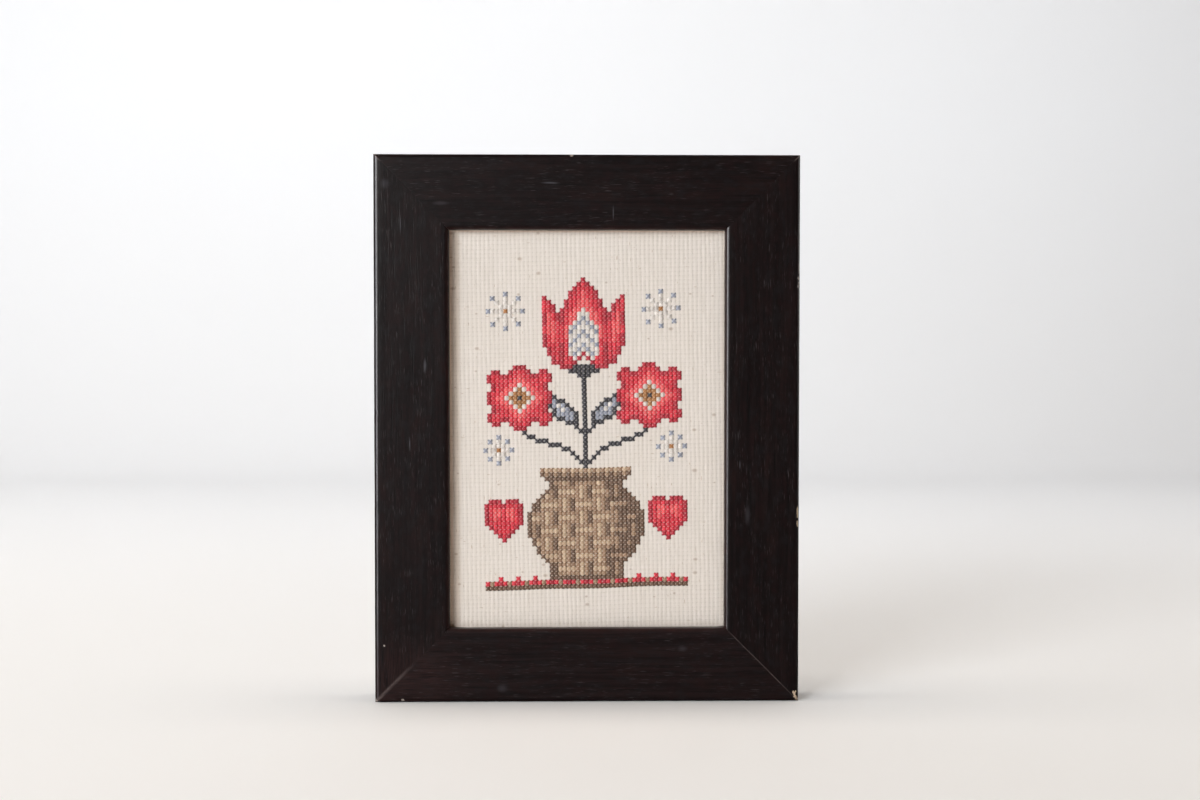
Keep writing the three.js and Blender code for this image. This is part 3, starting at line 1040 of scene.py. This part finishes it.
def make_stitches(letter, seed):
    name, colour, depth = FLOSS[letter]
    cells = np.array([c for c, k in sorted(CHART.items()) if k == letter], float)
    a, b = cells[:, 0] + CHART_LEFT, cells[:, 1] + CHART_FOOT
    rng = np.random.default_rng(seed)
    n = len(cells)
    points, faces, uv, bake, tone = [], [], [], [], []
    count = 0
    strands = 4 * n
    grid = math.ceil(math.sqrt(strands / 4))  # a stitch's four strands share one square of the bake map
    shade = rng.normal(0.45, 0.22, n).clip(0, 1)

    def hole(da, db):
        x, z = on_cloth(a + da, b + db)
        return np.stack([x, z], 1) + rng.normal(0, 0.045, (n, 2))

    legs = (
        (hole(0, 0), hole(1, 1), OVER),
        (hole(0, 1), hole(1, 0), UNDER),
    )
    for leg, (p, q, shape) in enumerate(legs):
        rings = shape[0]
        rise = rng.normal(1.0, 0.07, n).clip(0.8, 1.2)
        lean = rng.normal(0, 0.035, n)
        for k, side in enumerate((-1, 1)):
            wide = rng.normal(0.465, 0.03, n)
            high = rng.normal(0.36, 0.02, n)
            apart = side * rng.normal(0.222, 0.022, n) + lean
            up = rise + 0.05 * rng.normal(0, 1, n)
            tube = tubes(p, q, shape, up, wide, high, apart, rng)
            m, per = tube.shape[1], tube.shape[1] * SIDES
            points.append(tube.reshape(-1, 3))
            base = count + np.arange(n)[:, None, None, None] * per
            ring = np.arange(m - 1)[None, :, None, None] * SIDES
            j = np.arange(SIDES)
            corner = np.stack([j, (j + 1) % SIDES, (j + 1) % SIDES + SIDES, j + SIDES], 1)[None, None, :, :]
            quads = (base + ring + corner).reshape(-1, 4)
            faces.append(quads)
            ends = count + np.arange(n)[:, None] * per
            caps = np.concatenate([ends + j[None, ::-1], ends + (m - 1) * SIDES + j[None, :]])
            faces.append(caps)
            # corners of the quads: along the strand, and round it
            t = np.asarray(rings)
            strand_u = np.stack([t[:-1], t[:-1], t[1:], t[1:]], 1)[None, :, None, :]
            strand_v = np.stack([j, j + 1, j + 1, j], 1)[None, None, :, :] / SIDES + 4 * k + 2 * leg
            full = np.broadcast_to(strand_u, (n, m - 1, SIDES, 4)), np.broadcast_to(strand_v, (n, m - 1, SIDES, 4))
            flat_uv = np.stack([full[0].reshape(-1), full[1].reshape(-1)], 1)
            cap_v = np.concatenate([np.broadcast_to(j[::-1] / SIDES, (n, SIDES)), np.broadcast_to(j / SIDES, (n, SIDES))]) + 4 * k + 2 * leg
            cap_u = np.concatenate([np.zeros((n, SIDES)), np.ones((n, SIDES))])
            cap_uv = np.stack([cap_u.reshape(-1), cap_v.reshape(-1)], 1)
            uv += [flat_uv, cap_uv]
            # the bake map: a strip of the stitch's own square
            which = np.arange(n)
            col, row = which % grid, which // grid
            strip = leg * 2 + k
            for part, who in ((flat_uv, np.repeat(which, (m - 1) * SIDES * 4)), (cap_uv, np.tile(np.repeat(which, SIDES), 2))):
                bu = (col[who] + 0.04 + 0.92 * part[:, 0]) / grid
                bv = (row[who] + (strip + 0.08 + 0.84 * (part[:, 1] - 4 * k - 2 * leg)) / 4) / grid
                bake.append(np.stack([bu, bv], 1))
            one = shade + rng.normal(0, 0.08, n)
            tone.append(np.repeat(one, per))
            count += n * per
    points = np.concatenate(points)
    starts, total = [], []
    for f in faces:
        starts.append(np.full(len(f), f.shape[1]))
        total.append(f.reshape(-1))
    sizes, corners = np.concatenate(starts), np.concatenate(total)
    mesh = bpy.data.meshes.new("stitches_" + name)
    mesh.vertices.add(len(points))
    mesh.vertices.foreach_set("co", (points * MM).astype(np.float32).ravel())
    mesh.loops.add(len(corners))
    mesh.loops.foreach_set("vertex_index", corners.astype(np.int32))
    mesh.polygons.add(len(sizes))
    mesh.polygons.foreach_set("loop_start", (np.cumsum(sizes) - sizes).astype(np.int32))
    mesh.polygons.foreach_set("use_smooth", np.ones(len(sizes), bool))
    mesh.update(calc_edges=True)
    for layer_name, values in (("strand", uv), ("OFBake", bake)):
        layer = mesh.uv_layers.new(name=layer_name, do_init=False)
        layer.uv.foreach_set("vector", np.concatenate(values).astype(np.float32).ravel())
    float_attribute(mesh, "tone", np.concatenate(tone).clip(0, 1))
    mesh.materials.append(floss(name, colour, depth))
    o = bpy.data.objects.new("stitches_" + name, mesh)
    bpy.context.scene.collection.objects.link(o)
    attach(o, "root")
    return o


STITCHES = [make_stitches(k, 300 + i) for i, k in enumerate(FLOSS)]

# ---- the backing board --------------------------------------------------------


def hardboard():
    n = Nodes("brown_hardboard")
    where = n.node("ShaderNodeTexCoord", {}, out="Object")
    mm = n.vector("SCALE", where, scale=1000.0)
    fibre = n.noise(mm, 1.1, 5.0, 0.7)
    cloud = n.noise(mm, 0.03, 3.0, 0.5)
    speck = n.noise(mm, 0.9, 1.0, 0.5)
    rub = n.noise(n.vector("MULTIPLY", mm, (0.012, 1.0, 0.3)), 1.0, 3.0, 0.6)
    colour = n.mix(n.ramp(fibre, 0.3, 0.7), rgb(104, 72, 46), rgb(134, 97, 64))
    colour = n.mix(n.math("MULTIPLY", n.ramp(cloud, 0.35, 0.7), 0.5), colour, rgb(112, 76, 50))
    colour = n.mix(n.math("MULTIPLY", n.ramp(speck, 0.70, 0.76), 0.6), colour, rgb(60, 40, 27))
    colour = n.mix(n.math("MULTIPLY", n.ramp(rub, 0.58, 0.72), 0.16), colour, rgb(168, 136, 104))
    return n.finish(
        **{
            "Base Color": colour,
            "Roughness": n.math("ADD", 0.5, n.math("MULTIPLY", fibre, 0.3)),
            "Specular IOR Level": 0.4,
            "Normal": n.bump(fibre, 0.3, 0.0001),
        }
    )


def make_board(material):
    """A sheet of hardboard, a little bowed, with its arrises eased."""
    x0, x1, z0, z1 = board_low.x, board_high.x, board_low.z, board_high.z
    y0, y1 = board_low.y, board_high.y
    ease = 0.35

    def steps(a, b, n):
        return np.concatenate([[a, a + ease], np.linspace(a, b, n + 1)[1:-1], [b - ease, b]])

    xs, zs = steps(x0, x1, 24), steps(z0, z1, 34)
    X, Z = np.meshgrid(xs, zs, indexing="ij")
    rim = (X == x0) | (X == x1) | (Z == z0) | (Z == z1)
    bow = 0.22 * dome(X, (x1 - x0) / 1.9) * dome(Z - MIDDLE, (z1 - z0) / 1.9)
    uneven = 0.03 * waves(9, 6, 18, 60)(X, Z)
    back = y1 - ease * rim - 0.02 - np.abs(uneven) - 0.20 + bow * 0.9
    front = y0 + ease * rim
    nx, nz = X.shape
    points = np.concatenate([np.stack([X, front, Z], -1).reshape(-1, 3), np.stack([X, back, Z], -1).reshape(-1, 3)])
    i = np.arange(nx * nz).reshape(nx, nz)
    quads = np.stack([i[:-1, :-1], i[1:, :-1], i[1:, 1:], i[:-1, 1:]], -1).reshape(-1, 4)
    faces = quads.tolist() + (quads[:, ::-1] + nx * nz).tolist()
    ring = list(i[:, 0]) + list(i[-1, 1:]) + list(i[-2::-1, -1]) + list(i[0, -2:0:-1])
    for k in range(len(ring)):
        p, q = int(ring[k]), int(ring[(k + 1) % len(ring)])
        faces.append((p, p + nx * nz, q + nx * nz, q))
    return new_object("backing_panel", points, faces, material, sharp_deg=50)


BOARD = make_board(hardboard())
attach(BOARD, "root")
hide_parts("backing_board")

# ---- floor, backdrop and light --------------------------------------------------


ROOM = (0.837, 0.837, 0.837)


def pale_floor():
    """A plain pale floor. Far from the picture the eye sees it melt into the room."""
    n = Nodes("pale_floor")
    where = n.node("ShaderNodeTexCoord", {}, out="Object")
    colour = (0.865, 0.885, 0.915)
    tint = n.mix(n.ramp(n.noise(where, 1.2, 2.0), 0.3, 0.7), tuple(c * 0.985 for c in colour), colour)
    material = n.finish(**{"Base Color": tint, "Roughness": 0.8, "Specular IOR Level": 0.2})
    x, y, _ = n.parts(where)
    ahead = n.ramp(y, -0.45, -1.25)
    behind = n.math("MAXIMUM", n.math("SUBTRACT", y, 0.6), 0.0)
    wide = n.math("SUBTRACT", n.math("ABSOLUTE", x), n.math("MULTIPLY", behind, 0.36))
    aside = n.ramp(wide, 0.55, 1.15)
    far = n.math("MAXIMUM", ahead, aside)
    seen = n.node("ShaderNodeLightPath", {}, out="Is Camera Ray")
    haze = n.node("ShaderNodeEmission", {"Color": ROOM, "Strength": 1.0})
    melt = n.node("ShaderNodeMixShader", {0: n.math("MULTIPLY", far, seen), 1: n.shader.outputs[0], 2: haze})
    out = next(k for k in n.tree.nodes if k.type == "OUTPUT_MATERIAL")
    n.tree.links.new(melt, out.inputs["Surface"])
    return material


def make_stage():
    """A floor that curves up into a backdrop well behind the picture."""
    near, bend, radius, top, half = -3.0, 1.15, 0.45, 2.6, 3.2
    line = [(near, 0.0), (-0.6, 0.0), (0.0, 0.0), (0.6, 0.0)]
    line += [(bend + radius * math.sin(t), radius - radius * math.cos(t)) for t in np.linspace(0, math.pi / 2, 18)]
    line.append((bend + radius, top))
    points = [(x, y * 1000, z * 1000) for y, z in line for x in (-half * 1000, half * 1000)]
    faces = [(2 * i, 2 * i + 1, 2 * i + 3, 2 * i + 2) for i in range(len(line) - 1)]
    o = new_object("floor", points, faces, pale_floor())
    o.visible_glossy = False


make_stage()


def area_light(name, place, aim, wide, high, power, colour=(1, 1, 1)):
    data = bpy.data.lights.new(name, "AREA")
    data.shape, data.size, data.size_y = "RECTANGLE", wide, high
    data.energy, data.color = power, colour
    o = bpy.data.objects.new(name, data)
    bpy.context.scene.collection.objects.link(o)
    o.location = place
    o.rotation_euler = (Vector(aim) - Vector(place)).to_track_quat("-Z", "Y").to_euler()
    o.visible_camera = False
    return o


CENTRE = (0.0, 0.0, MIDDLE * MM)


def from_centre(azimuth, elevation, distance):
    """A place seen from the picture: azimuth to its left in front, elevation up."""
    a, e = math.radians(azimuth), math.radians(elevation)
    return (
        CENTRE[0] - distance * math.sin(a) * math.cos(e),
        CENTRE[1] - distance * math.cos(a) * math.cos(e),
        CENTRE[2] + distance * math.sin(e),
    )


# window light from the front left, its gleam along the left arris, soft light straight down, and the backdrop's own
area_light("key", from_centre(36, 15, 2.4), CENTRE, 1.20, 1.08, 48.5, (1.0, 1.01, 1.01))
area_light("side", from_centre(55, 8, 1.1), CENTRE, 0.36, 0.8, 33.0, (1.0, 1.0, 1.05)).visible_diffuse = False
area_light("far_side", from_centre(-100, 12, 1.3), CENTRE, 0.5, 0.7, 7.0, (1.0, 0.98, 0.96)).visible_diffuse = False
area_light("overhead", (-0.3, 0.03, 1.7), (-0.3, 0.03, 0.0), 2.4, 0.6, 21.5, (1.0, 0.91, 0.80)).visible_glossy = False
area_light("backdrop", (-0.2, 0.55, 1.0), (-0.2, 1.5, 0.2), 2.6, 0.5, 6.0, (0.94, 1.0, 1.08))

world = bpy.data.worlds.new("soft_room")
bpy.context.scene.world = world
world.use_nodes = True
wt = world.node_tree
wt.nodes.clear()
backgrounds = []
for colour, strength in (((1.0, 0.72, 0.48, 1), 0.085), ((1.0, 0.97, 0.95, 1), 0.05), ((*ROOM, 1), 1.0)):
    background = wt.nodes.new("ShaderNodeBackground")
    background.inputs["Color"].default_value = colour
    background.inputs["Strength"].default_value = strength
    backgrounds.append(background)
path = wt.nodes.new("ShaderNodeLightPath")
gloss, either = wt.nodes.new("ShaderNodeMixShader"), wt.nodes.new("ShaderNodeMixShader")
world_out = wt.nodes.new("ShaderNodeOutputWorld")
# a dim room for light and gloss, and a pale one to look at
wt.links.new(path.outputs["Is Glossy Ray"], gloss.inputs[0])
wt.links.new(backgrounds[0].outputs[0], gloss.inputs[1])
wt.links.new(backgrounds[1].outputs[0], gloss.inputs[2])
wt.links.new(path.outputs["Is Camera Ray"], either.inputs[0])
wt.links.new(gloss.outputs[0], either.inputs[1])
wt.links.new(backgrounds[2].outputs[0], either.inputs[2])
wt.links.new(either.outputs[0], world_out.inputs["Surface"])

# ---- camera -------------------------------------------------------------------

camera_data = bpy.data.cameras.new("camera")
camera_data.sensor_width, camera_data.lens = 36.0, 50.0
camera_data.clip_start, camera_data.clip_end = 0.02, 30.0
camera = bpy.data.objects.new("camera", camera_data)
bpy.context.scene.collection.objects.link(camera)
camera.location = (-0.00900, -0.70406, 0.14810)
camera.rotation_euler = (math.radians(88.2289), math.radians(-0.0221), math.radians(-1.1795))
bpy.context.scene.camera = camera

scene = bpy.context.scene
scene.view_settings.view_transform = "Standard"
scene.view_settings.look = "None"

# ---- last update of the scene ---------------------------------------------------

bpy.context.view_layer.update()
